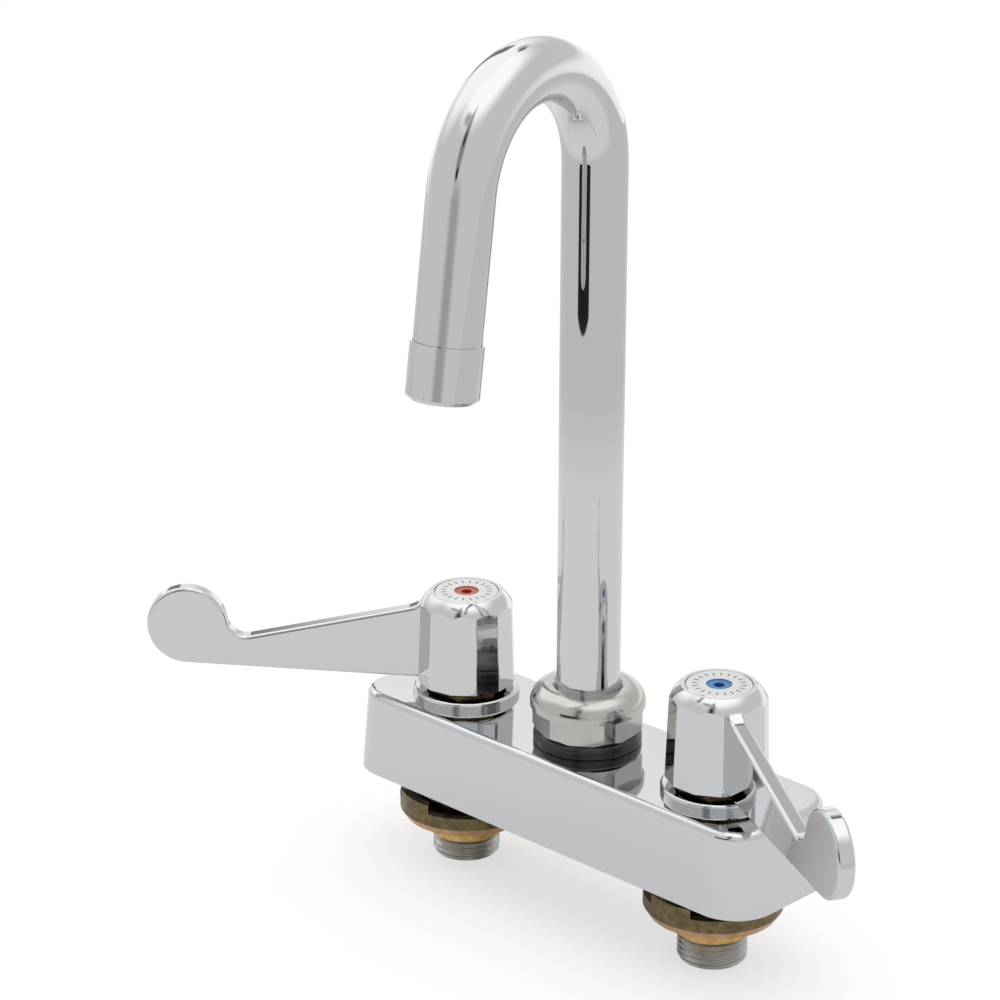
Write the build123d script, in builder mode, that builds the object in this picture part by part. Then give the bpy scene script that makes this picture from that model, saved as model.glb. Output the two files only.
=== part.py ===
from build123d import *
from math import asin, atan2, cos, hypot, radians, sin
import os

# Deck-mount gooseneck faucet with two wrist-blade handles.
# Lengths in millimetres, angles in degrees. The origin is the middle of the body's underside,
# on the deck. +Z is up, the hot valve is at -X, and the front of the sink is at -Y.

# Body casting
inlet_spacing = 101.6
body_length = 161.2
body_width = 47.6
body_height = 26.0
body_corner_radius = 13.5
body_draft = 4.5
body_top_fillet = 2.2
body_wall = 3.5
body_roof = 4.5
valve_boss_radius = 14.0

# Fits between pieces
screwed_gap = 0.1
running_gap = 0.08
seat_gap = 0.05

# Inlet shanks and deck locknuts
shank_radius = 10.4
shank_bore_radius = 6.5
shank_length = 27.6
shank_socket_depth = 7.0
shank_chamfer = 0.9
locknut_flange_radius = 20.7
locknut_lug_height = 2.9
locknut_lug_thickness = 2.6
locknut_wall_height = 4.0
locknut_slot_width = 17.0
locknut_slot_count = 4
locknut_boss_radius = 14.6
locknut_boss_height = 1.2
locknut_groove_depth = 2.0
locknut_chamfer_height = 2.5
locknut_chamfer_reach = 1.6
locknut_cone_height = 1.6
locknut_hub_radius = 11.3
locknut_hub_height = 4.2
hot_locknut_drop = 5.2
cold_locknut_drop = 3.3
hot_locknut_turn = 304.0
cold_locknut_turn = 316.0

# Valve chambers, from the port web upwards
port_web_height = 2.0
port_radius = 5.6
chamber_radius = 9.7
seal_height = 2.0
seal_wall = 3.0
disc_height = 3.0
disc_radius = 8.2
disc_port_radius = 2.6
disc_port_offset = 4.3
passage_radius = 3.5
passage_height = 18.5
passage_wall = 3.0

# Cartridges
cartridge_radius = 9.6
window_width = 6.0
window_height = 3.2
flange_height = 5.0
flange_across_flats = 20.0
neck_height = 8.4
neck_radius = 7.0
oring_thickness = 1.2
oring_squeeze = 0.12
oring_groove_width = 1.45
cartridge_oring_depth = 2.4

# Stems
stem_radius = 4.5
stem_foot_radius = 7.2
stem_foot_height = 3.0
clip_thickness = 0.8
clip_radius = 6.2
clip_gap_width = 4.0
spline_radius = 4.0
spline_depth = 0.5
spline_count = 12
spline_tooth_width = 1.0
spline_height = 9.0
spline_lead = 1.0

# Rings under the handles
ring_radius = 16.35
ring_height = 2.4
ring_edge_round = 0.9

# Handle hub
hub_bottom = 30.2
hub_top = 59.3
hub_flat_radius = 14.7
hub_flat_count = 12
hub_taper = 1.75
hub_edge_round = 1.8
hub_edge_chamfer = 0.4
hub_corner_limit = 15.3
hub_shoulder_start = 50.0
hub_shoulder_mid_radius = 14.0
hub_shoulder_mid_height = 55.9
hub_top_radius = 11.1
hub_cavity_radius = 12.2
hub_cavity_top = 45.0

# Wrist blade, measured outwards from the hub's axis
blade_thickness = 5.0
blade_edge_round = 1.0
blade_root_top = 55.7
blade_root_lift = 0.6
root_rise_reach = 17.5
root_rise_end = 13.0
root_rise_top = 56.8
blade_neck_reach = 66.0
blade_neck_top = 43.4
paddle_reach = 86.0
paddle_height = 46.3
paddle_radius = 12.4
notch_radius = 6.0
blade_inner_reach = 9.0
hot_blade_direction = 220.9
cold_blade_direction = -29.1

# Handle screw, index ring and cap
screw_radius = 2.0
screw_depth = 6.0
screw_hole_runout = 1.0
screw_pull_gap = 0.5
screw_head_radius = 3.5
screw_head_height = 2.6
screw_recess_width = 2.5
screw_recess_depth = 1.4
counterbore_radius = 4.4
index_radius = 3.75
index_hole_radius = 1.6
index_proud = 0.3
cap_radius = 9.9
cap_thickness = 1.8
cap_chamfer = 0.4

# Spout swivel
nipple_radius = 13.4
nipple_top = 39.0
socket_radius = 11.7
socket_floor = 14.0
ferrule_bottom = 23.0
ferrule_flange_radius = 12.9
ferrule_flange_height = 1.8
ferrule_groove_lead = 3.5
ferrule_groove_pitch = 9.0
washer_height = 0.9
base_ring_height = 4.1
base_ring_radius = 16.3
base_ring_top_round = 1.9
base_ring_foot_round = 0.6
nut_across_flats = 30.2
nut_corner_radius = 16.5
nut_corner_bevel = 1.0
nut_turn = 36.0
nut_hex_height = 7.4
nut_dome_radius = 17.3
nut_dome_rim = 0.9
nut_top = 44.2
nut_top_radius = 12.0
nut_mouth_bevel = 1.2

# Gooseneck tube
tube_radius = 9.525
tube_wall = 1.2
bend_height = 203.5
bend_radius = 32.5
bend_turn = 171.0
leg_length = 40.0
spout_direction = 9.0

# Aerator
aerator_radius = 10.25
aerator_length = 16.0
aerator_overlap = 7.0
aerator_lip_height = 1.2
aerator_lip_radius = 8.3
aerator_bevel = 1.2
aerator_washer_height = 1.5
aerator_washer_hole = 6.5
insert_height = 5.5
insert_hole_radius = 0.7
insert_ring_pitch = 2.4
insert_ring_count = 3
screen_height = 0.8
screen_hole_radius = 0.55
screen_pitch = 1.75
screen_row_count = 7

# Heights that follow from the values above
inlet_x = inlet_spacing / 2
port_top = shank_socket_depth + port_web_height
seal_top = port_top + seal_height
fixed_disc_top = seal_top + disc_height
moving_disc_top = fixed_disc_top + seat_gap + disc_height
foot_top = moving_disc_top + stem_foot_height
skirt_top = foot_top + running_gap
flange_bottom = body_height + ring_height
flange_top = flange_bottom + flange_height
neck_top = flange_top + neck_height
clip_bottom = neck_top + seat_gap
clip_top = clip_bottom + clip_thickness
spline_bottom = hub_cavity_top - spline_lead
spline_top = spline_bottom + spline_height
screw_bottom = spline_top - screw_depth
pocket_top = body_height - body_roof
ring_top = body_height + ring_height
cap_bottom = hub_top - cap_thickness
web_top = spline_top + screw_pull_gap
nut_bottom = body_height + base_ring_height
flange_seat = nipple_top + seat_gap
ferrule_top = flange_seat + ferrule_flange_height
washer_bottom = ferrule_top + seat_gap
washer_top = washer_bottom + washer_height
nut_ceiling = washer_top + seat_gap
skirt_inner_radius = disc_radius + seat_gap
stem_bore_radius = stem_radius + running_gap

os.makedirs("parts", exist_ok=True)


def ring_profile(inner, outer, bottom, top):
    """Rectangle between two radii and two heights, drawn on a vertical plane."""
    with Locations(((inner + outer) / 2, (bottom + top) / 2)):
        Rectangle(outer - inner, top - bottom)


def upright(x=0.0):
    """Vertical plane through a valve's axis: local x is +X and local y is +Z."""
    return Plane(origin=(x, 0, 0), x_dir=(1, 0, 0), z_dir=(0, -1, 0))


def axis_at(x=0.0):
    return Axis((x, 0, 0), (0, 0, 1))


def save(piece, name):
    piece.label = name
    export_step(piece, f"parts/{name}.step")


# Cast body: outer shell, bosses, cross waterway, spout nipple and bores
with BuildPart() as valve_body:
    with BuildSketch():
        RectangleRounded(body_length, body_width, body_corner_radius)
    extrude(amount=body_height, taper=body_draft)
    fillet(valve_body.faces().sort_by(Axis.Z)[-1].edges(), body_top_fillet)
    with BuildSketch():
        RectangleRounded(
            body_length - 2 * body_wall,
            body_width - 2 * body_wall,
            body_corner_radius - body_wall,
        )
    extrude(amount=pocket_top, taper=body_draft, mode=Mode.SUBTRACT)
    with BuildSketch():
        with Locations((-inlet_x, 0), (inlet_x, 0), (0, 0)):
            Circle(valve_boss_radius)
    extrude(amount=pocket_top)
    with BuildSketch(Plane.XY.offset(passage_height - passage_radius - passage_wall)):
        Rectangle(inlet_spacing, 2 * (passage_radius + passage_wall))
    extrude(amount=pocket_top - passage_height + passage_radius + passage_wall)
    with BuildSketch(Plane.XY.offset(body_height)):
        Circle(nipple_radius)
    extrude(amount=nipple_top - body_height)
    with BuildSketch(Plane.XY.offset(socket_floor)):
        Circle(socket_radius)
    extrude(amount=nipple_top - socket_floor, mode=Mode.SUBTRACT)
    for x in (-inlet_x, inlet_x):
        with BuildSketch(upright(x)):
            ring_profile(0, shank_radius, 0, shank_socket_depth)
            ring_profile(0, port_radius, 0, port_top)
            ring_profile(0, chamber_radius, port_top, body_height)
        revolve(axis=axis_at(x), mode=Mode.SUBTRACT)
    with BuildSketch(Plane.YZ.offset(-inlet_x)):
        with Locations((0, passage_height)):
            Circle(passage_radius)
    extrude(amount=inlet_spacing, mode=Mode.SUBTRACT)
save(valve_body.part, "valve_body")


# Threaded inlet shank, screwed into the socket under a valve chamber
def make_shank(side, x):
    with BuildPart() as shank:
        with BuildSketch(upright(x)):
            with BuildLine():
                Polyline(
                    (shank_bore_radius, -shank_length),
                    (shank_radius - shank_chamfer, -shank_length),
                    (shank_radius, -shank_length + shank_chamfer),
                    (shank_radius, shank_socket_depth),
                    (shank_bore_radius, shank_socket_depth),
                    close=True,
                )
            make_face()
        revolve(axis=axis_at(x))
    save(shank.part, f"{side}_shank")


# Flanged brass locknut that clamps the deck from below, with lugs round its rim
def make_locknut(side, x, drop, turn):
    slot_floor = -drop - locknut_lug_height
    wall_bottom = slot_floor - locknut_wall_height
    chamfer_bottom = wall_bottom - locknut_chamfer_height
    hub_start = chamfer_bottom - locknut_cone_height
    bore = shank_radius + screwed_gap
    rim_inner = locknut_flange_radius - locknut_lug_thickness
    with BuildPart() as locknut:
        with BuildSketch(upright(x)):
            with BuildLine():
                Polyline(
                    (bore, slot_floor + locknut_boss_height),
                    (locknut_boss_radius, slot_floor + locknut_boss_height),
                    (locknut_boss_radius, slot_floor - locknut_groove_depth),
                    (rim_inner, slot_floor - locknut_groove_depth),
                    (rim_inner, -drop),
                    (locknut_flange_radius, -drop),
                    (locknut_flange_radius, wall_bottom),
                    (locknut_flange_radius - locknut_chamfer_reach, chamfer_bottom),
                    (locknut_hub_radius, hub_start),
                    (locknut_hub_radius, hub_start - locknut_hub_height),
                    (bore, hub_start - locknut_hub_height),
                    close=True,
                )
            make_face()
        revolve(axis=axis_at(x))
        with BuildSketch(Plane(origin=(x, 0, slot_floor))):
            with PolarLocations(locknut_flange_radius, locknut_slot_count, start_angle=turn):
                Rectangle(2 * (locknut_flange_radius - locknut_boss_radius), locknut_slot_width)
            Circle(locknut_boss_radius, mode=Mode.SUBTRACT)
        extrude(amount=locknut_lug_height, mode=Mode.SUBTRACT)
    save(locknut.part, f"{side}_locknut")


# Rubber seal and the two ceramic discs that open and close the port
def make_seal(side, x):
    with BuildPart() as seal:
        with BuildSketch(upright(x)):
            ring_profile(chamber_radius - seal_wall, chamber_radius - seat_gap, port_top, seal_top)
        revolve(axis=axis_at(x))
    save(seal.part, f"{side}_seat_seal")


def make_disc(name, x, bottom, turn):
    with BuildPart() as disc:
        with BuildSketch(Plane(origin=(x, 0, bottom))):
            Circle(disc_radius)
            with PolarLocations(disc_port_offset, 2, start_angle=turn):
                Circle(disc_port_radius, mode=Mode.SUBTRACT)
        extrude(amount=disc_height)
    save(disc.part, name)


# Brass cartridge: skirt round the discs, threaded middle, hexagon and neck
def make_cartridge(side, x):
    groove_middle = body_height - cartridge_oring_depth
    with BuildPart() as cartridge:
        with BuildSketch(upright(x)):
            ring_profile(skirt_inner_radius, cartridge_radius, seal_top, skirt_top)
            ring_profile(stem_bore_radius, cartridge_radius, skirt_top, flange_bottom)
            ring_profile(stem_bore_radius, neck_radius, flange_bottom, neck_top)
        revolve(axis=axis_at(x))
        with BuildSketch(Plane(origin=(x, 0, flange_bottom))):
            RegularPolygon(flange_across_flats / 2, 6, major_radius=False)
            Circle(stem_bore_radius, mode=Mode.SUBTRACT)
        extrude(amount=flange_height)
        with BuildSketch(upright(x)):
            ring_profile(
                cartridge_radius - oring_thickness,
                cartridge_radius,
                groove_middle - oring_groove_width / 2,
                groove_middle + oring_groove_width / 2,
            )
        revolve(axis=axis_at(x), mode=Mode.SUBTRACT)
        with BuildSketch(Plane(origin=(x, 0, skirt_top - window_height))):
            Rectangle(2 * chamber_radius, window_width)
            Circle(skirt_inner_radius, mode=Mode.SUBTRACT)
        extrude(amount=window_height, mode=Mode.SUBTRACT)
    save(cartridge.part, f"{side}_cartridge")
    with BuildPart() as oring:
        with BuildSketch(upright(x)):
            with Locations((cartridge_radius - oring_thickness / 2 + oring_squeeze / 2, groove_middle)):
                Circle(oring_thickness / 2)
        revolve(axis=axis_at(x))
    save(oring.part, f"{side}_cartridge_oring")


# Polished flat ring between the body and the handle
def make_ring(side, x):
    with BuildPart() as ring:
        with BuildSketch(upright(x)):
            ring_profile(cartridge_radius + screwed_gap, ring_radius, body_height, ring_top)
        revolve(axis=axis_at(x))
        fillet(ring.faces().sort_by(Axis.Z)[-1].outer_wire().edges(), ring_edge_round)
    save(ring.part, f"{side}_escutcheon_ring")


# Stem with its foot on the moving disc, O-ring groove, clip groove and splined top
def make_stem(side, x):
    groove_middle = flange_top + neck_height / 2
    groove_depth = oring_thickness + seat_gap
    with BuildPart() as stem:
        with BuildSketch(upright(x)):
            ring_profile(0, stem_foot_radius, moving_disc_top + seat_gap, foot_top)
            ring_profile(0, stem_radius, foot_top, spline_bottom)
            ring_profile(0, spline_radius - spline_depth, spline_bottom, spline_top)
        revolve(axis=axis_at(x))
        with BuildSketch(Plane(origin=(x, 0, spline_bottom))):
            with PolarLocations(spline_radius - spline_depth, spline_count):
                Rectangle(2 * spline_depth, spline_tooth_width)
        extrude(amount=spline_height)
        with BuildSketch(upright(x)):
            ring_profile(
                stem_radius - groove_depth,
                stem_radius,
                groove_middle - oring_groove_width / 2,
                groove_middle + oring_groove_width / 2,
            )
            ring_profile(stem_radius - clip_thickness, stem_radius, clip_bottom, clip_top)
            ring_profile(0, screw_radius + screwed_gap, screw_bottom - screw_hole_runout, spline_top)
        revolve(axis=axis_at(x), mode=Mode.SUBTRACT)
    save(stem.part, f"{side}_stem")
    with BuildPart() as oring:
        with BuildSketch(upright(x)):
            with Locations((stem_radius - oring_thickness / 2, groove_middle)):
                Circle(oring_thickness / 2)
        revolve(axis=axis_at(x))
    save(oring.part, f"{side}_stem_oring")
    with BuildPart() as clip:
        with BuildSketch(Plane(origin=(x, 0, clip_bottom + seat_gap / 2))):
            Circle(clip_radius)
            Circle(stem_radius - clip_thickness + seat_gap, mode=Mode.SUBTRACT)
            with Locations((clip_radius, 0)):
                Rectangle(2 * clip_radius, clip_gap_width, mode=Mode.SUBTRACT)
        extrude(amount=clip_thickness - seat_gap)
    save(clip.part, f"{side}_stem_clip")


# Handle casting: faceted hub with a rounded shoulder, and the wrist blade that rises to it
blade_slope = (blade_root_top - blade_neck_top) / (blade_neck_reach - blade_inner_reach)


def blade_top(reach):
    """Height of the blade's straight top edge at a reach from the hub's axis."""
    return blade_root_top - blade_slope * (reach - blade_inner_reach)


def blade_corners():
    """Corners of the blade's side view, with its lower edge tangent to the round paddle."""
    run = paddle_reach - blade_inner_reach
    root_bottom = hub_bottom + blade_root_lift
    rise = paddle_height - root_bottom
    lower_angle = atan2(rise, run) - asin(paddle_radius / hypot(run, rise))
    tangent_point = (
        paddle_reach + paddle_radius * sin(lower_angle),
        paddle_height - paddle_radius * cos(lower_angle),
    )
    return (
        (blade_inner_reach, root_rise_top),
        (blade_inner_reach, root_bottom),
        tangent_point,
        (paddle_reach, blade_top(paddle_reach)),
        (root_rise_reach, blade_top(root_rise_reach)),
    )


# One casting serves both valves: it is drawn with its blade towards +X, then turned and placed
notch = (paddle_reach - paddle_radius, blade_top(paddle_reach - paddle_radius))
rise_start = (root_rise_reach, blade_top(root_rise_reach))
rise_end = (root_rise_end, root_rise_top)
with BuildPart() as hub:
    with BuildSketch(Plane.XY.offset(hub_bottom)):
        RegularPolygon(hub_flat_radius, hub_flat_count, major_radius=False, rotation=180 / hub_flat_count)
    extrude(amount=hub_top - hub_bottom, taper=hub_taper)
    fillet(hub.edges().group_by(Axis.Z)[1], hub_edge_round)
    chamfer(hub.faces().sort_by(Axis.Z)[0].edges(), hub_edge_chamfer)
    with BuildSketch(upright()):
        with BuildLine():
            Polyline(
                (-hub_top_radius, hub_top),
                (0, hub_top),
                (0, hub_bottom),
                (-hub_corner_limit, hub_bottom),
                (-hub_corner_limit, hub_shoulder_start),
            )
            ThreePointArc(
                (-hub_corner_limit, hub_shoulder_start),
                (-hub_shoulder_mid_radius, hub_shoulder_mid_height),
                (-hub_top_radius, hub_top),
            )
        make_face()
    revolve(axis=axis_at(), mode=Mode.INTERSECT)
with BuildPart() as handle:
    with BuildSketch(upright()) as outline:
        with BuildLine():
            Polyline(*blade_corners())
            TangentArc(rise_start, rise_end, tangent=(-1, blade_slope))
            Line(rise_end, (blade_inner_reach, root_rise_top))
        make_face()
        with Locations((paddle_reach, paddle_height)):
            Circle(paddle_radius)
        fillet(outline.vertices().sort_by_distance(notch)[0], notch_radius)
    extrude(amount=blade_thickness / 2, both=True)
    side_faces = handle.faces().filter_by(Axis.Y)
    fillet(side_faces.edges().filter_by(Axis.Z, reverse=True), blade_edge_round)
    add(hub.part)
    with BuildSketch(upright()):
        ring_profile(0, hub_cavity_radius, hub_bottom, hub_cavity_top)
        ring_profile(0, spline_radius + screwed_gap, hub_cavity_top, web_top)
        ring_profile(0, counterbore_radius, web_top, hub_top)
        ring_profile(0, cap_radius + seat_gap, cap_bottom, hub_top)
    revolve(axis=axis_at(), mode=Mode.SUBTRACT)


def place_handle(side, x, direction):
    save(handle.part.moved(Location((x, 0, 0), (0, 0, direction))), f"{side}_handle")


# Handle screw, coloured index ring and cap disc
def make_trim(side, x):
    head_top = web_top + screw_head_height
    with BuildPart() as screw:
        with BuildSketch(upright(x)):
            ring_profile(0, screw_radius, screw_bottom, web_top)
            ring_profile(0, screw_head_radius, web_top, head_top)
        revolve(axis=axis_at(x))
        with BuildSketch(Plane(origin=(x, 0, head_top))):
            RegularPolygon(screw_recess_width / 2, 6, major_radius=False)
        extrude(amount=-screw_recess_depth, mode=Mode.SUBTRACT)
    save(screw.part, f"{side}_handle_screw")
    with BuildPart() as index:
        with BuildSketch(upright(x)):
            ring_profile(index_hole_radius, index_radius, head_top, hub_top - index_proud)
        revolve(axis=axis_at(x))
    save(index.part, f"{side}_index_ring")
    with BuildPart() as cap:
        with BuildSketch(upright(x)):
            ring_profile(index_radius + seat_gap, cap_radius, cap_bottom, hub_top)
        revolve(axis=axis_at(x))
        chamfer(cap.faces().sort_by(Axis.Z)[-1].outer_wire().edges(), cap_chamfer)
    save(cap.part, f"{side}_cap")


sides = (
    ("hot", -inlet_x, hot_blade_direction, hot_locknut_drop, hot_locknut_turn),
    ("cold", inlet_x, cold_blade_direction, cold_locknut_drop, cold_locknut_turn),
)
for side, x, direction, drop, turn in sides:
    make_shank(side, x)
    make_locknut(side, x, drop, turn)
    make_seal(side, x)
    make_disc(f"{side}_fixed_disc", x, seal_top, 0)
    make_disc(f"{side}_moving_disc", x, fixed_disc_top + seat_gap, direction)
    make_cartridge(side, x)
    make_ring(side, x)
    make_stem(side, x)
    place_handle(side, x, direction)
    make_trim(side, x)


# Black ring between the body and the spout nut
with BuildPart() as spout_base_ring:
    with BuildSketch(upright()):
        ring_profile(nipple_radius + seat_gap, base_ring_radius, body_height, nut_bottom)
    revolve(axis=axis_at())
    fillet(spout_base_ring.faces().sort_by(Axis.Z)[-1].outer_wire().edges(), base_ring_top_round)
    fillet(spout_base_ring.faces().sort_by(Axis.Z)[0].outer_wire().edges(), base_ring_foot_round)
save(spout_base_ring.part, "spout_base_ring")

# Hexagon nut with turned corners and a domed top, threaded on the nipple
with BuildPart() as spout_nut:
    dome_base = nut_bottom + nut_hex_height
    with BuildSketch(Plane.XY.offset(nut_bottom)):
        RegularPolygon(nut_across_flats / 2, 6, major_radius=False, rotation=nut_turn)
    extrude(amount=nut_hex_height)
    with BuildSketch(upright()):
        with BuildLine():
            Polyline(
                (0, nut_bottom),
                (nut_corner_radius - nut_corner_bevel, nut_bottom),
                (nut_corner_radius, nut_bottom + nut_corner_bevel),
                (nut_corner_radius, dome_base),
                (0, dome_base),
                close=True,
            )
        make_face()
    revolve(axis=axis_at(), mode=Mode.INTERSECT)
    with BuildSketch(upright()):
        with BuildLine():
            rim_top = dome_base + nut_dome_rim
            Polyline(
                (0, nut_top),
                (0, dome_base),
                (nut_dome_radius, dome_base),
                (nut_dome_radius, rim_top),
            )
            ThreePointArc(
                (nut_dome_radius, rim_top),
                (
                    nut_top_radius + (nut_dome_radius - nut_top_radius) * cos(radians(45)),
                    rim_top + (nut_top - rim_top) * sin(radians(45)),
                ),
                (nut_top_radius, nut_top),
            )
            Line((nut_top_radius, nut_top), (0, nut_top))
        make_face()
    revolve(axis=axis_at())
    with BuildSketch(upright()):
        ring_profile(0, nipple_radius + screwed_gap, nut_bottom, nut_ceiling)
        ring_profile(0, tube_radius + running_gap, nut_ceiling, nut_top)
        with BuildLine():
            Polyline(
                (0, nut_top),
                (0, nut_top - nut_mouth_bevel),
                (tube_radius + running_gap, nut_top - nut_mouth_bevel),
                (tube_radius + running_gap + nut_mouth_bevel, nut_top),
                close=True,
            )
        make_face()
    revolve(axis=axis_at(), mode=Mode.SUBTRACT)
save(spout_nut.part, "spout_nut")

# Plastic washer under the nut's ceiling
with BuildPart() as swivel_washer:
    with BuildSketch(upright()):
        ring_profile(tube_radius + running_gap, ferrule_flange_radius, washer_bottom, washer_top)
    revolve(axis=axis_at())
save(swivel_washer.part, "swivel_washer")

# Ferrule brazed to the foot of the tube, with a flange and two O-ring grooves
ferrule_radius = socket_radius - running_gap
lower_groove = ferrule_bottom + ferrule_groove_lead
oring_heights = (lower_groove, lower_groove + ferrule_groove_pitch)
with BuildPart() as spout_ferrule:
    with BuildSketch(upright()):
        ring_profile(tube_radius, ferrule_radius, ferrule_bottom, flange_seat)
        ring_profile(tube_radius, ferrule_flange_radius, flange_seat, ferrule_top)
        for height in oring_heights:
            with Locations((ferrule_radius, height)):
                Rectangle(2 * oring_thickness, oring_groove_width, mode=Mode.SUBTRACT)
    revolve(axis=axis_at())
save(spout_ferrule.part, "spout_ferrule")

with BuildPart() as spout_orings:
    with BuildSketch(upright()):
        with Locations(*[(ferrule_radius - oring_thickness / 2, height) for height in oring_heights]):
            Circle(oring_thickness / 2)
    revolve(axis=axis_at())
save(spout_orings.part, "spout_orings")

# Gooseneck: riser, bend and outlet leg in one plane turned to the spout's direction
outwards = Vector(sin(radians(spout_direction)), -cos(radians(spout_direction)), 0)
bend_plane = Plane(origin=(0, 0, 0), x_dir=outwards, z_dir=outwards.cross(Vector(0, 0, 1)))
bend = radians(bend_turn)
leg_start = (bend_radius - bend_radius * cos(bend), bend_height + bend_radius * sin(bend))
leg_along = (sin(bend), cos(bend))


def on_leg(distance):
    """Point on the outlet leg's centre line, in the bend plane."""
    return (leg_start[0] + leg_along[0] * distance, leg_start[1] + leg_along[1] * distance)


with BuildPart() as spout_tube:
    with BuildLine(bend_plane):
        Line((0, ferrule_bottom), (0, bend_height))
        ThreePointArc(
            (0, bend_height),
            (bend_radius - bend_radius * cos(bend / 2), bend_height + bend_radius * sin(bend / 2)),
            leg_start,
        )
        Line(leg_start, on_leg(leg_length + aerator_overlap))
    with BuildSketch(Plane(origin=(0, 0, ferrule_bottom))):
        Circle(tube_radius)
        Circle(tube_radius - tube_wall, mode=Mode.SUBTRACT)
    sweep()
save(spout_tube.part, "spout_tube")

# Aerator, built along the outlet leg
leg_down = outwards * leg_along[0] + Vector(0, 0, leg_along[1])
side_dir = outwards.cross(Vector(0, 0, 1))


def leg_plane(distance):
    """Plane square to the outlet leg, this far below the end of the bend, facing the outlet."""
    u, z = on_leg(distance)
    return Plane(origin=outwards * u + Vector(0, 0, z), x_dir=side_dir, z_dir=leg_down)


washer_at = leg_length + aerator_overlap
insert_at = washer_at + aerator_washer_height
screen_at = insert_at + insert_height
lip_at = leg_length + aerator_length - aerator_lip_height
cup_radius = tube_radius + screwed_gap

with BuildPart() as aerator_housing:
    with BuildSketch(leg_plane(leg_length)):
        Circle(aerator_radius)
    extrude(amount=aerator_length)
    chamfer(aerator_housing.faces().sort_by(Axis.Z)[0].edges(), aerator_bevel)
    with BuildSketch(leg_plane(leg_length)):
        Circle(cup_radius)
    extrude(amount=aerator_length - aerator_lip_height, mode=Mode.SUBTRACT)
    with BuildSketch(leg_plane(lip_at)):
        Circle(aerator_lip_radius)
    extrude(amount=aerator_lip_height, mode=Mode.SUBTRACT)
save(aerator_housing.part, "aerator_housing")

with BuildPart() as aerator_washer:
    with BuildSketch(leg_plane(washer_at)):
        Circle(tube_radius)
        Circle(aerator_washer_hole, mode=Mode.SUBTRACT)
    extrude(amount=aerator_washer_height)
save(aerator_washer.part, "aerator_washer")

with BuildPart() as aerator_insert:
    with BuildSketch(leg_plane(insert_at)):
        Circle(tube_radius)
        for number in range(1, insert_ring_count + 1):
            with PolarLocations(number * insert_ring_pitch, 6 * number):
                Circle(insert_hole_radius, mode=Mode.SUBTRACT)
    extrude(amount=insert_height)
save(aerator_insert.part, "aerator_insert")

with BuildPart() as aerator_screen:
    with BuildSketch(leg_plane(screen_at)):
        Circle(tube_radius)
        with HexLocations(screen_pitch / 2, screen_row_count, screen_row_count):
            Circle(screen_hole_radius, mode=Mode.SUBTRACT)
    extrude(amount=screen_height)
save(aerator_screen.part, "aerator_screen")
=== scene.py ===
import math

import bpy
from mathutils import Matrix, Vector


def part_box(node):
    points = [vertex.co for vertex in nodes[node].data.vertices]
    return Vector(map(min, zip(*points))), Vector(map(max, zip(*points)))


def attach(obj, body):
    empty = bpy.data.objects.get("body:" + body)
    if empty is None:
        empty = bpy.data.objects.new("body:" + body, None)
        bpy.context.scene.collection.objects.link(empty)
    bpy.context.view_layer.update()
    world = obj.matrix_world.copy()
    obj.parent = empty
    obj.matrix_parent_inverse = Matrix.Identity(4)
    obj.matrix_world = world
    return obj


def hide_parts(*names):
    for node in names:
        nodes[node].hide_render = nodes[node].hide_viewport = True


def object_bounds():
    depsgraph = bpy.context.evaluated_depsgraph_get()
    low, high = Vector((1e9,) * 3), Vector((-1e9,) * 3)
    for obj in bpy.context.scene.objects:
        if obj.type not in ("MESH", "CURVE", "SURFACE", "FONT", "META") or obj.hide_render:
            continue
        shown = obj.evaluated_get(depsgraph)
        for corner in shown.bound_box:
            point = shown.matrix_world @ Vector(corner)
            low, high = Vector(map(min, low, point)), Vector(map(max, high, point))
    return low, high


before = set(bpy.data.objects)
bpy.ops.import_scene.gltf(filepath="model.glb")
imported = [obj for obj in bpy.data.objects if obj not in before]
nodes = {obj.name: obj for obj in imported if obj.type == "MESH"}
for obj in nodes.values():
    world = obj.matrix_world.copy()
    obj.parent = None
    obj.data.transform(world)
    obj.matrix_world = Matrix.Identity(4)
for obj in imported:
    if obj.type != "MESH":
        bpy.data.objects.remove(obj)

# Lengths are metres, as in the frame. MM turns millimetres into metres.
MM = 0.001
cad_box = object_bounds()

# Places read from the frame
hot_x = sum(corner.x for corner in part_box("hot_shank")) / 2
cold_x = sum(corner.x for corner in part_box("cold_shank")) / 2
floor_height = cad_box[0].z
shank_low, shank_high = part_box("hot_shank")
shank_radius = (shank_high.x - shank_low.x) / 2


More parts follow.
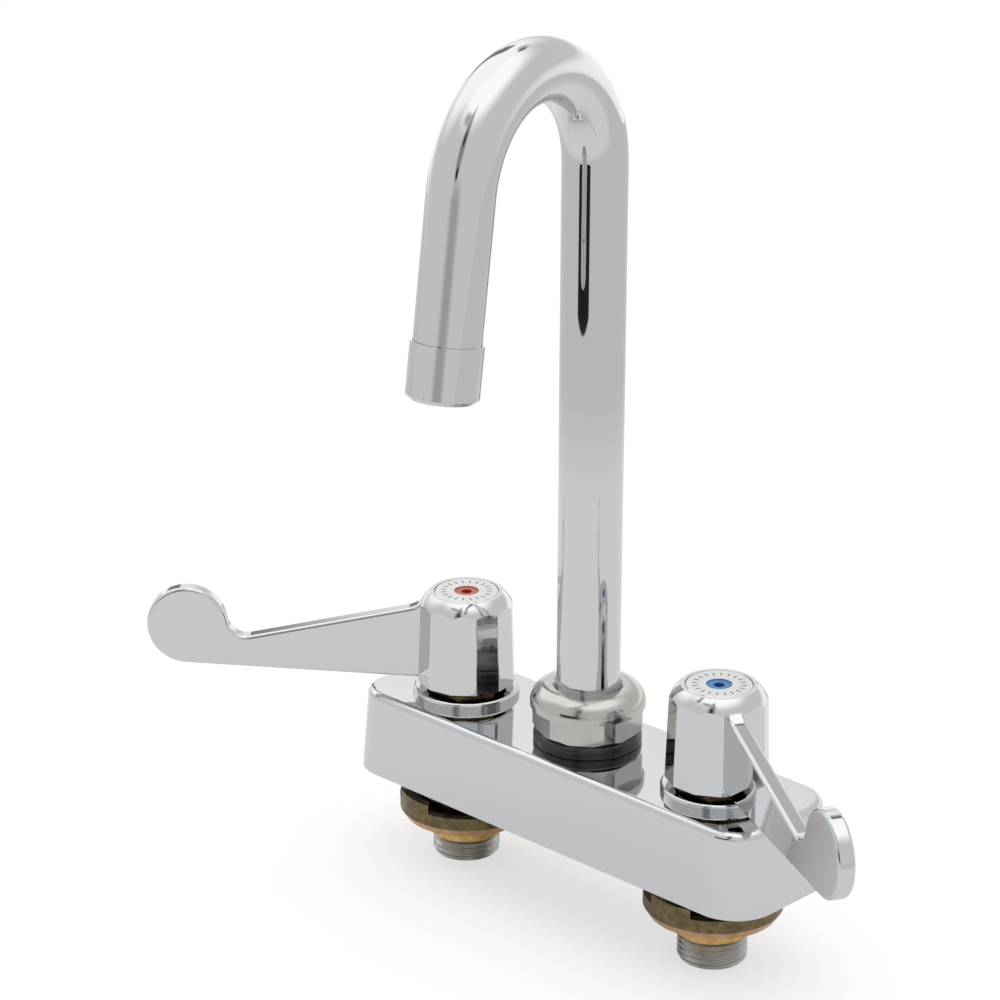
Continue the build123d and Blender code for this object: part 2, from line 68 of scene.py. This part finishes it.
# Shader helpers
class Shader:
    """A material under construction: its node tree, its surface shader and short ways to add nodes."""

    def __init__(self, name, **sockets):
        self.material = bpy.data.materials.new(name)
        self.material.use_nodes = True
        self.tree = self.material.node_tree
        self.surface = self.tree.nodes["Principled BSDF"]
        for socket, value in sockets.items():
            self.surface.inputs[socket.replace("_", " ")].default_value = value
        self.position = self.add("ShaderNodeTexCoord").outputs["Object"]

    def add(self, kind, **settings):
        node = self.tree.nodes.new(kind)
        for name, value in settings.items():
            setattr(node, name, value)
        return node

    def link(self, source, target):
        self.tree.links.new(source, target)

    def noise(self, scale, detail=3.0, stretch=(1, 1, 1)):
        """Noise over the object's own space, in features per metre, as a value from 0 to 1."""
        mapping = self.add("ShaderNodeMapping")
        mapping.inputs["Scale"].default_value = stretch
        self.link(self.position, mapping.inputs["Vector"])
        texture = self.add("ShaderNodeTexNoise")
        texture.inputs["Scale"].default_value = scale
        texture.inputs["Detail"].default_value = detail
        self.link(mapping.outputs["Vector"], texture.inputs["Vector"])
        return texture.outputs["Fac"]

    def spread(self, source, low, high, start=0.3, end=0.7):
        """Maps a 0 to 1 value onto a range."""
        remap = self.add("ShaderNodeMapRange")
        remap.inputs["From Min"].default_value = start
        remap.inputs["From Max"].default_value = end
        remap.inputs["To Min"].default_value = low
        remap.inputs["To Max"].default_value = high
        self.link(source, remap.inputs["Value"])
        return remap.outputs["Result"]

    def blend_colors(self, factor, first, second):
        mix = self.add("ShaderNodeMix", data_type="RGBA")
        self.link(factor, mix.inputs["Factor"])
        for socket, color in ((mix.inputs[6], first), (mix.inputs[7], second)):
            if isinstance(color, bpy.types.NodeSocket):
                self.link(color, socket)
            else:
                socket.default_value = (*color, 1)
        return mix.outputs[2]

    def roughness(self, source):
        self.link(source, self.surface.inputs["Roughness"])

    def color(self, source):
        self.link(source, self.surface.inputs["Base Color"])

    def bump(self, source, height, distance=MM):
        node = self.add("ShaderNodeBump")
        node.inputs["Strength"].default_value = height
        node.inputs["Distance"].default_value = distance
        self.link(source, node.inputs["Height"])
        self.link(node.outputs["Normal"], self.surface.inputs["Normal"])


def chrome_material(name, tone, polish, waviness):
    """Mirror chrome: faint uneven polish and a very slight waviness of the plated surface."""
    patch_scale = 90
    wave_scale = 45
    best_share = 0.6
    worst_share = 1.6
    shader = Shader(name, Base_Color=(*tone, 1), Metallic=1.0, Roughness=polish)
    shader.roughness(shader.spread(shader.noise(patch_scale, 4), polish * best_share, polish * worst_share))
    shader.bump(shader.noise(wave_scale, 2), waviness)
    return shader.material


def metal_material(name, first, second, scale, rough, bump, stretch=(1, 1, 1)):
    """Plain metal whose colour, roughness and surface vary with noise."""
    shader = Shader(name, Metallic=1.0)
    grain = shader.noise(scale, 5, stretch)
    shader.color(shader.blend_colors(shader.spread(grain, 0, 1), first, second))
    shader.roughness(shader.spread(grain, *rough))
    shader.bump(grain, bump)
    return shader.material


def moulded_material(name, color, rough, scale=900, bump=0.05):
    """Rubber, plastic or ceramic: a plain colour with slight mottling and a fine texture."""
    dark_share = 0.8
    unevenness = 0.15
    shader = Shader(name, Metallic=0.0)
    grain = shader.noise(scale, 4)
    darker = tuple(dark_share * channel for channel in color)
    shader.color(shader.blend_colors(shader.spread(grain, 0, 1), color, darker))
    shader.roughness(shader.spread(grain, rough * (1 - unevenness), rough * (1 + unevenness)))
    shader.bump(grain, bump)
    return shader.material


chrome = chrome_material("chrome", (0.60, 0.61, 0.62), 0.025, 0.02)
tube_chrome = chrome_material("tube_chrome", (0.60, 0.61, 0.62), 0.02, 0.01)
cap_chrome = chrome_material("cap_chrome", (0.66, 0.66, 0.66), 0.08, 0.02)
nickel = metal_material("satin_nickel", (0.50, 0.495, 0.47), (0.46, 0.455, 0.43), 120, (0.13, 0.17), 0.004)
# Brass of the cartridges, stems and ferrule, darkened as painted shade of the gap under the handle hubs
brass = metal_material("shade_darkened_brass", (0.30, 0.20, 0.10), (0.20, 0.13, 0.06), 300, (0.22, 0.34), 0.03)
shank_metal = metal_material("shank_metal", (0.48, 0.49, 0.48), (0.37, 0.37, 0.36), 500, (0.28, 0.45), 0.05)
steel = metal_material("stainless_steel", (0.55, 0.55, 0.54), (0.45, 0.45, 0.45), 700, (0.2, 0.35), 0.03)
rubber = moulded_material("rubber", (0.03, 0.03, 0.03), 0.6)
black_plastic = moulded_material("black_ring", (0.015, 0.015, 0.015), 0.18)
white_plastic = moulded_material("white_plastic", (0.80, 0.80, 0.78), 0.4)
ceramic = moulded_material("ceramic", (0.80, 0.79, 0.76), 0.15, 1200, 0.02)
hot_red = moulded_material("hot_red", (0.46, 0.060, 0.024), 0.3)
cold_blue = moulded_material("cold_blue", (0.014, 0.16, 0.46), 0.3)
tick_grey = moulded_material("tick_grey", (0.22, 0.22, 0.22), 0.5)


# Locknut brass: a dark wall whose darkness is painted shade under the body, a copper-toned turned chamfer and
# a golden hub, told apart by height
nut_hub_height = 5.8 * MM
nut_chamfer_height = 2.5 * MM
nut_zone_edge = 0.15 * MM
patina_scale = 420
turning_scale = 500
turning_stretch = (0.15, 0.15, 4)
mottle_range = (0.38, 0.62)
nut_rough = (0.26, 0.46)
nut_bump = 0.05
# The wall's dark tones are painted shade cast by the body above
wall_shade_tones = ((0.21, 0.155, 0.08), (0.13, 0.10, 0.055))
chamfer_tones = ((0.76, 0.49, 0.30), (0.60, 0.38, 0.20))
hub_tones = ((0.80, 0.56, 0.24), (0.62, 0.38, 0.13))


def locknut_material(name, bottom):
    shader = Shader(name, Metallic=1.0)
    split = shader.add("ShaderNodeSeparateXYZ")
    shader.link(shader.position, split.inputs[0])
    height = split.outputs["Z"]
    patina = shader.noise(patina_scale, 5)
    rings = shader.noise(turning_scale, 3, turning_stretch)
    mottle = shader.spread(patina, 0, 1, *mottle_range)
    # Hub, chamfer and wall tones by height; the wall's pair is painted shade
    tones = [shader.blend_colors(mottle, *pair) for pair in (hub_tones, chamfer_tones, wall_shade_tones)]
    color = tones[0]
    level = bottom + nut_hub_height
    for tone in tones[1:]:
        above = shader.spread(height, 0, 1, level - nut_zone_edge, level + nut_zone_edge)
        color = shader.blend_colors(above, color, tone)
        level += nut_chamfer_height
    shader.color(color)
    shader.roughness(shader.spread(rings, *nut_rough))
    shader.bump(rings, nut_bump)
    return shader.material


def paint(name, material):
    """Gives a carried-over node its material."""
    for slot in nodes[name].material_slots:
        slot.material = material


for name in ("hot_locknut", "cold_locknut"):
    paint(name, locknut_material(f"{name}_brass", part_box(name)[0].z))


# Carried-over nodes and their materials
finishes = (
    (chrome, ("valve_body", "hot_escutcheon_ring", "cold_escutcheon_ring", "hot_handle", "cold_handle")),
    (tube_chrome, ("spout_tube", "aerator_housing")),
    (cap_chrome, ("hot_cap", "cold_cap")),
    (nickel, ("spout_nut",)),
    # Dark brass: painted shade of the gap under the handle hubs
    (brass, ("hot_cartridge", "cold_cartridge", "hot_stem", "cold_stem", "spout_ferrule")),
    (steel, ("hot_stem_clip", "cold_stem_clip", "hot_handle_screw", "cold_handle_screw", "aerator_screen")),
    (rubber, ("hot_seat_seal", "cold_seat_seal", "hot_stem_oring", "cold_stem_oring")),
    (rubber, ("hot_cartridge_oring", "cold_cartridge_oring", "spout_orings", "aerator_washer")),
    (black_plastic, ("spout_base_ring",)),
    (white_plastic, ("swivel_washer", "aerator_insert")),
    (ceramic, ("hot_fixed_disc", "cold_fixed_disc", "hot_moving_disc", "cold_moving_disc")),
    (hot_red, ("hot_index_ring",)),
    (cold_blue, ("cold_index_ring",)),
)
for material, names in finishes:
    for name in names:
        paint(name, material)


# Mesh helper
def finish_mesh(name, vertices, faces, material, sharp_degrees):
    """A mesh object with smooth faces, edges kept sharp past an angle, and area-weighted normals."""
    mesh = bpy.data.meshes.new(name)
    mesh.from_pydata(vertices, [], faces)
    mesh.materials.append(material)
    mesh.shade_smooth()
    mesh.set_sharp_from_angle(angle=math.radians(sharp_degrees))
    piece = bpy.data.objects.new(name, mesh)
    bpy.context.scene.collection.objects.link(piece)
    weights = piece.modifiers.new("normals", "WEIGHTED_NORMAL")
    weights.keep_sharp = True
    return piece


# Threaded inlet shanks
threads_per_inch = 14
inch = 25.4
thread_pitch = inch / threads_per_inch * MM
thread_depth = 0.8 * MM
thread_flat = 0.08
thread_turns = 96
thread_rows_per_pitch = 14
thread_sharp_degrees = 50
shank_bore = 6.5 * MM
shank_lead = 0.9 * MM


def thread_radius(height, angle, bottom):
    """Radius of a right-hand vee thread with narrow flat crests and roots, and a chamfer at its lower end."""
    phase = (height / thread_pitch - angle / (2 * math.pi)) % 1.0
    vee = abs(2 * phase - 1)
    vee = min(max((vee - thread_flat) / (1 - 2 * thread_flat), 0.0), 1.0)
    lead = min(1.0, (height - bottom) / shank_lead)
    radius = shank_radius - thread_depth * (1 - vee)
    return min(radius, shank_radius - shank_lead * (1 - lead))


def threaded_shank(name, x, body):
    """Closed tube of rings: up the thread, down the bore and back to the start."""
    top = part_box(name)[1].z
    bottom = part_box(name)[0].z
    rows = int((top - bottom) / thread_pitch * thread_rows_per_pitch)
    angles = [2 * math.pi * step / thread_turns for step in range(thread_turns)]
    vertices = []
    for row in range(rows + 1):
        height = bottom + (top - bottom) * row / rows
        for angle in angles:
            radius = thread_radius(height, angle, bottom)
            vertices.append((x + radius * math.cos(angle), radius * math.sin(angle), height))
    for height in (top, bottom):
        for angle in angles:
            vertices.append((x + shank_bore * math.cos(angle), shank_bore * math.sin(angle), height))
    faces = []
    rings = len(vertices) // thread_turns
    for ring in range(rings):
        here = ring * thread_turns
        there = (ring + 1) % rings * thread_turns
        for step in range(thread_turns):
            following = (step + 1) % thread_turns
            faces.append((here + step, here + following, there + following, there + step))
    piece = finish_mesh(f"{name}_thread", vertices, faces, shank_metal, thread_sharp_degrees)
    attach(piece, body)
    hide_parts(name)


for name, x in (("hot_shank", hot_x), ("cold_shank", cold_x)):
    threaded_shank(name, x, "root")


# Plain tick marks on the handle caps, standing a hair proud
tick_count = 20
tick_inner = 6.3 * MM
tick_outer = 7.9 * MM
tick_width = 0.45 * MM
tick_height = 0.04 * MM
tick_sharp_degrees = 35
tick_faces = ((3, 2, 1, 0), (4, 5, 6, 7), (0, 1, 5, 4), (1, 2, 6, 5), (2, 3, 7, 6), (3, 0, 4, 7))
for side, x in (("hot", hot_x), ("cold", cold_x)):
    cap_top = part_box(f"{side}_cap")[1].z
    vertices = []
    faces = []
    for number in range(tick_count):
        turn = Matrix.Rotation(2 * math.pi * number / tick_count, 3, "Z")
        start = len(vertices)
        for height in (cap_top - tick_height, cap_top + tick_height):
            for reach, offset in ((tick_inner, -1), (tick_outer, -1), (tick_outer, 1), (tick_inner, 1)):
                corner = turn @ Vector((reach, offset * tick_width / 2, 0))
                vertices.append((x + corner.x, corner.y, height))
        for face in tick_faces:
            faces.append(tuple(start + i for i in face))
    ticks = finish_mesh(f"{side}_cap_ticks", vertices, faces, tick_grey, tick_sharp_degrees)
    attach(ticks, f"{side}_control")


# Node helpers for the floor and the surroundings
def calculate(tree, operation, *values):
    """A maths node fed with sockets or numbers; returns its output."""
    node = tree.nodes.new("ShaderNodeMath")
    node.operation = operation
    for socket, value in zip(node.inputs, values):
        if isinstance(value, bpy.types.NodeSocket):
            tree.links.new(value, socket)
        else:
            socket.default_value = value
    return node.outputs[0]


def ease(tree, value, start, end, low, high):
    """Smooth step of a socket from low at start to high at end."""
    node = tree.nodes.new("ShaderNodeMapRange")
    node.interpolation_type = "SMOOTHSTEP"
    for name, number in (("From Min", start), ("From Max", end), ("To Min", low), ("To Max", high)):
        node.inputs[name].default_value = number
    tree.links.new(value, node.inputs["Value"])
    return node.outputs["Result"]


def blend(tree, factor, first, second):
    """Mix of two brightness values by a factor."""
    change = calculate(tree, "MULTIPLY", factor, calculate(tree, "SUBTRACT", second, first))
    return calculate(tree, "ADD", first, change)


# Pale floor, a disc. Rays that light the object meet a plain pale colour. The camera sees it
# white with a faint shadow, and metal sees a painted pool of light, brighter close to the object than further
# out.
floor_radius = 1.3
floor_sides = 128
floor_clearance = 0.05 * MM
floor_tone = 0.72
floor_shadow_share = 0.42
floor_near_painted_light = 0.84
floor_far_tone = 0.68
near_floor = 0.34
far_floor = 0.52
material = bpy.data.materials.new("pale_floor")
material.use_nodes = True
tree = material.node_tree
surface = tree.nodes["Principled BSDF"]
surface.inputs["Roughness"].default_value = 1.0
surface.inputs["Specular IOR Level"].default_value = 0.0
rays = tree.nodes.new("ShaderNodeLightPath")
distance = tree.nodes.new("ShaderNodeVectorMath")
distance.operation = "LENGTH"
tree.links.new(tree.nodes.new("ShaderNodeTexCoord").outputs["Object"], distance.inputs[0])
# Painted pool of light for metal: the floor's colour eases from bright near the object to dimmer further out
painted_light_pool = ease(tree, distance.outputs["Value"], near_floor, far_floor, floor_near_painted_light, floor_far_tone)
mirrored = calculate(tree, "MAXIMUM", rays.outputs["Is Glossy Ray"], rays.outputs["Is Transmission Ray"])
tone = blend(tree, mirrored, floor_tone, painted_light_pool)
tone = blend(tree, rays.outputs["Is Camera Ray"], tone, floor_shadow_share)
tree.links.new(tone, surface.inputs["Base Color"])
surface.inputs["Emission Color"].default_value = (1, 1, 1, 1)
glow = calculate(tree, "MULTIPLY", rays.outputs["Is Camera Ray"], 1 - floor_shadow_share)
tree.links.new(glow, surface.inputs["Emission Strength"])
mesh = bpy.data.meshes.new("floor")
rim = []
for step in range(floor_sides):
    angle = 2 * math.pi * step / floor_sides
    rim.append((floor_radius * math.cos(angle), floor_radius * math.sin(angle), 0))
mesh.from_pydata(rim, [], [tuple(range(floor_sides))])
mesh.materials.append(material)
floor = bpy.data.objects.new("floor", mesh)
floor.location.z = floor_height - floor_clearance
bpy.context.scene.collection.objects.link(floor)


# Surroundings: a soft tent that is bright overhead, with lighter and darker fields. The camera
# itself sees plain white. Each field is an ellipse on the sky, given by the azimuth and elevation
# of its middle, its half width and half height, all in degrees, the softness of its edge as a
# share of its size, and its brightness. A later field lies over an earlier one.
full_turn = 360.0
wall_light = 0.83
roof_light = 1.55
roof_start = 40
roof_end = 66
sky_fields = (
    (165, 48, 48, 32, 0.35, 1.45),
    (118, -2, 62, 16, 0.30, 1.30),
    (121, 47, 8, 4, 0.40, 0.68),
    (116, 52, 6, 4, 0.30, 0.25),
    (143, 35, 6, 5, 0.30, 0.25),
    (147, 29, 5, 6, 0.40, 0.25),
    (150, 20, 4, 8, 0.40, 0.25),
    (152, 10, 3, 8, 0.40, 0.30),
    (291, 40, 9, 26, 0.35, 0.35),
    (291, 18, 4, 5, 0.30, 0.04),
    (291, 42, 4, 6, 0.30, 0.06),
    (296, -2, 14, 12, 0.60, 0.50),
    (272, 56, 20, 5, 0.50, 0.60),
)
world = bpy.data.worlds.new("studio")
bpy.context.scene.world = world
world.use_nodes = True
tree = world.node_tree
coordinates = tree.nodes.new("ShaderNodeTexCoord")
split = tree.nodes.new("ShaderNodeSeparateXYZ")
tree.links.new(coordinates.outputs["Generated"], split.inputs[0])
east, north, rise = split.outputs
turned = calculate(tree, "DEGREES", calculate(tree, "ARCTAN2", north, east))
azimuth = calculate(tree, "MODULO", calculate(tree, "ADD", turned, full_turn), full_turn)
elevation = calculate(tree, "DEGREES", calculate(tree, "ARCSINE", rise))
light = ease(tree, elevation, roof_start, roof_end, wall_light, roof_light)
for middle_azimuth, middle_elevation, half_width, half_height, softness, brightness in sky_fields:
    across = calculate(tree, "DIVIDE", calculate(tree, "SUBTRACT", azimuth, middle_azimuth), half_width)
    along = calculate(tree, "DIVIDE", calculate(tree, "SUBTRACT", elevation, middle_elevation), half_height)
    across_square = calculate(tree, "POWER", across, 2.0)
    along_square = calculate(tree, "POWER", along, 2.0)
    reach = calculate(tree, "SQRT", calculate(tree, "ADD", across_square, along_square))
    inside = ease(tree, reach, 1 - softness, 1 + softness, 1.0, 0.0)
    light = blend(tree, inside, light, brightness)
camera_rays = tree.nodes.new("ShaderNodeLightPath").outputs["Is Camera Ray"]
tree.links.new(blend(tree, camera_rays, light, 1.0), tree.nodes["Background"].inputs["Strength"])
tree.nodes["Background"].inputs["Color"].default_value = (1, 1, 1, 1)


# Dark card in front of the tap, seen only in its reflections
card_width = 0.32
card_height = 0.12
card_distance = 0.45
card_direction = math.radians(278)
card_bottom = 0.0135
card_tone = 0.01
mesh = bpy.data.meshes.new("dark_card")
sides = [Vector((-card_width / 2, 0, 0)), Vector((card_width / 2, 0, 0))]
corners = [corner + Vector((0, 0, height)) for height in (0, card_height) for corner in sides]
mesh.from_pydata(corners, [], [(0, 1, 3, 2)])
material = bpy.data.materials.new("dark_card")
material.use_nodes = True
surface = material.node_tree.nodes["Principled BSDF"]
surface.inputs["Base Color"].default_value = (card_tone, card_tone, card_tone, 1)
surface.inputs["Roughness"].default_value = 1.0
mesh.materials.append(material)
card = bpy.data.objects.new("dark_card", mesh)
card.location = (
    card_distance * math.cos(card_direction),
    card_distance * math.sin(card_direction),
    card_bottom,
)
card.rotation_euler.z = card_direction + math.pi / 2
card.visible_camera = False
card.visible_diffuse = False
card.visible_shadow = False
bpy.context.scene.collection.objects.link(card)


# Camera at the photograph's viewing angle
camera_azimuth = math.radians(44.03)
camera_elevation = math.radians(20.52)
camera_roll = math.radians(-0.20)
camera_distance = 1.04351
camera_sideways = -26.41 * MM
camera_upwards = 95.56 * MM
focal_length = 124.457
sensor_width = 36.0
camera_data = bpy.data.cameras.new("camera")
camera_data.lens = focal_length
camera_data.sensor_width = sensor_width
camera = bpy.data.objects.new("camera", camera_data)
bpy.context.scene.collection.objects.link(camera)
right = Vector((math.cos(camera_azimuth), math.sin(camera_azimuth), 0))
back = Vector((
    math.sin(camera_azimuth) * math.cos(camera_elevation),
    -math.cos(camera_azimuth) * math.cos(camera_elevation),
    math.sin(camera_elevation),
))
up = back.cross(right)
image_x = right * math.cos(camera_roll) - up * math.sin(camera_roll)
image_y = right * math.sin(camera_roll) + up * math.cos(camera_roll)
turn = Matrix((image_x, image_y, back)).transposed().to_4x4()
place = right * camera_sideways + up * camera_upwards + back * camera_distance
camera.matrix_world = Matrix.Translation(place) @ turn
bpy.context.scene.camera = camera
bpy.context.scene.view_settings.view_transform = "Standard"
